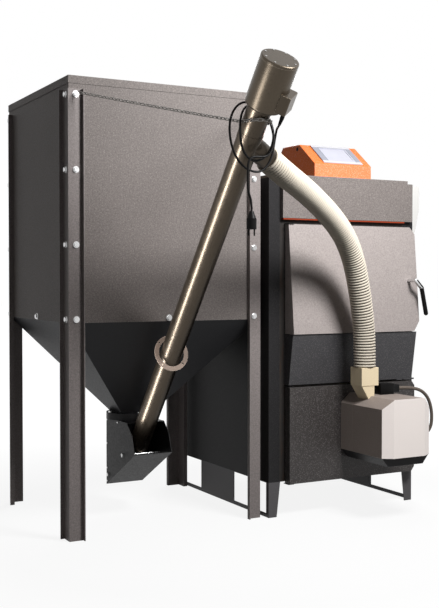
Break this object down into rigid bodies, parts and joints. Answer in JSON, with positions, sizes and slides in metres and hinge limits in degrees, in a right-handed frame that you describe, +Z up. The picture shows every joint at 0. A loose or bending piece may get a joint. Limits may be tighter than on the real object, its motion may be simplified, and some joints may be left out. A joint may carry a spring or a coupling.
{
  "type": "pellet boiler",
  "caption": "Steel pellet boiler with a hinged burner door, fed by a sloping auger and a ribbed hose from a free-standing pellet hopper on angle legs.",
  "frame": {"origin": "on the floor below the middle of the part's bounding box, cords left out", "axes": "+X to the right along the fronts, +Y to the rear, +Z up"},
  "size_m": [1.479, 1.5888, 1.5572],
  "materials": {
    "grey_paint": "satin",
    "leg_paint": "satin",
    "funnel_paint": "satin",
    "body_paint": "satin",
    "hammered_paint": "satin",
    "black_steel": "satin",
    "boiler_steel": "matte",
    "zinc": "satin",
    "tube_steel": "satin",
    "ring_steel": "satin",
    "motor_can": "satin",
    "gear_case": "matte",
    "silver_paint": "satin",
    "orange_paint": "satin",
    "white_plastic": "satin",
    "screen": "gloss",
    "pale_plastic": "matte",
    "adapter_paint": "satin",
    "black_plastic": "matte",
    "cord_rubber": "satin",
    "braid": "matte",
    "hose_plastic": "satin",
    "wool": "matte",
    "rope": "matte"
  },
  "bodies": {
    "root": {"hopper_bin": "grey_paint", "fascia": "grey_paint", "top_cover": "grey_paint", "hopper_leg_front_left": "leg_paint", "hopper_leg_front_right": "leg_paint", "hopper_leg_rear_left": "leg_paint", "hopper_leg_rear_right": "leg_paint", "hopper_funnel": "funnel_paint", "boiler_casing": "body_paint", "boiler_base": "body_paint", "middle_panel": "body_paint", "intake_trough": "black_steel", "funnel_flange": "black_steel", "trough_flange": "black_steel", "upper_door_hinges": "black_steel", "lower_door_hinges": "black_steel", "lid_hinge_fixed": "black_steel", "boiler_vessel": "boiler_steel", "exchanger_baffles": "boiler_steel", "ash_pan": "boiler_steel", "hopper_bolts": "zinc", "feeder_fasteners": "zinc", "gearmotor_screws": "zinc", "support_chain": "zinc", "auger_tube": "tube_steel", "gearmotor_housing": "motor_can", "gearmotor_cap": "motor_can", "terminal_box": "motor_can", "gearmotor_drive": "gear_case", "controller_case": "orange_paint", "fascia_trim": "orange_paint", "controller_bezel": "white_plastic", "controller_screen": "screen", "side_cover": "pale_plastic", "power_plug": "black_plastic", "power_cord_gland": "black_plastic", "power_cord": "cord_rubber", "power_cord_coil": "cord_rubber", "casing_insulation": "wool"},
    "lid": {"hopper_lid": "grey_paint", "lid_hinge_moving": "black_steel"},
    "auger": {"auger_screw": "zinc"},
    "ring": {"auger_ring": "ring_steel"},
    "hose": {"feed_hose": "hose_plastic"},
    "upper_door": {"upper_door": "grey_paint", "upper_door_insulation": "wool", "upper_door_seal": "rope"},
    "upper_handle": {"upper_door_handle": "black_plastic"},
    "lower_door": {"lower_door": "hammered_paint", "lower_door_insulation": "wool", "lower_door_seal": "rope", "hose_adapter": "adapter_paint", "burner_housing": "silver_paint", "burner_cover": "silver_paint", "burner_chassis": "black_steel", "flame_tube": "boiler_steel", "burner_connector": "black_plastic", "burner_cable": "braid"},
    "lower_handle": {"lower_door_handle": "black_plastic"},
    "fan": {"burner_fan": "black_plastic"}
  },
  "joints": [
    {"name": "lid_hinge", "type": "hinge", "parent": "root", "child": "lid", "pos_m": [-0.3555, 0.66364, 1.528], "axis": [-1, 0, 0], "range_deg": [0, 100]},
    {"name": "auger_turn", "type": "hinge", "parent": "root", "child": "auger", "pos_m": [-0.3555, 0.26314, 0.2363], "axis": [0, -0.6221, 0.7829], "continuous": true},
    {"name": "ring_slide", "type": "slide", "parent": "root", "child": "ring", "axis": [0, -0.6221, 0.7829], "range_m": [-0.06, 0.25]},
    {"name": "hose_swing", "type": "hinge", "parent": "root", "child": "hose", "pos_m": [-0.2673, -0.54317, 1.25105], "axis": [0, 0, -1], "range_deg": [0, 95], "deforming": ["feed_hose"]},
    {"name": "upper_door_hinge", "type": "hinge", "parent": "root", "child": "upper_door", "pos_m": [0.1125, -0.07456, 0.88], "axis": [0, 0, -1], "range_deg": [0, 100]},
    {"name": "upper_handle_turn", "type": "hinge", "parent": "upper_door", "child": "upper_handle", "pos_m": [0.6395, -0.10103, 0.875], "axis": [0, -1, 0], "range_deg": [0, 60]},
    {"name": "lower_door_hinge", "type": "hinge", "parent": "root", "child": "lower_door", "pos_m": [0.1125, -0.07456, 0.303], "axis": [0, 0, -1], "range_deg": [0, 100]},
    {"name": "lower_handle_turn", "type": "hinge", "parent": "lower_door", "child": "lower_handle", "pos_m": [0.6395, -0.09156, 0.38], "axis": [0, -1, 0], "range_deg": [0, 60]},
    {"name": "fan_turn", "type": "hinge", "parent": "lower_door", "child": "fan", "pos_m": [0.4365, -0.32656, 0.318], "axis": [0, 1, 0], "continuous": true}
  ],
  "couplings": [
    {"joint": "hose_swing", "follows": "upper_door_hinge", "ratio": 0.9}
  ]
}
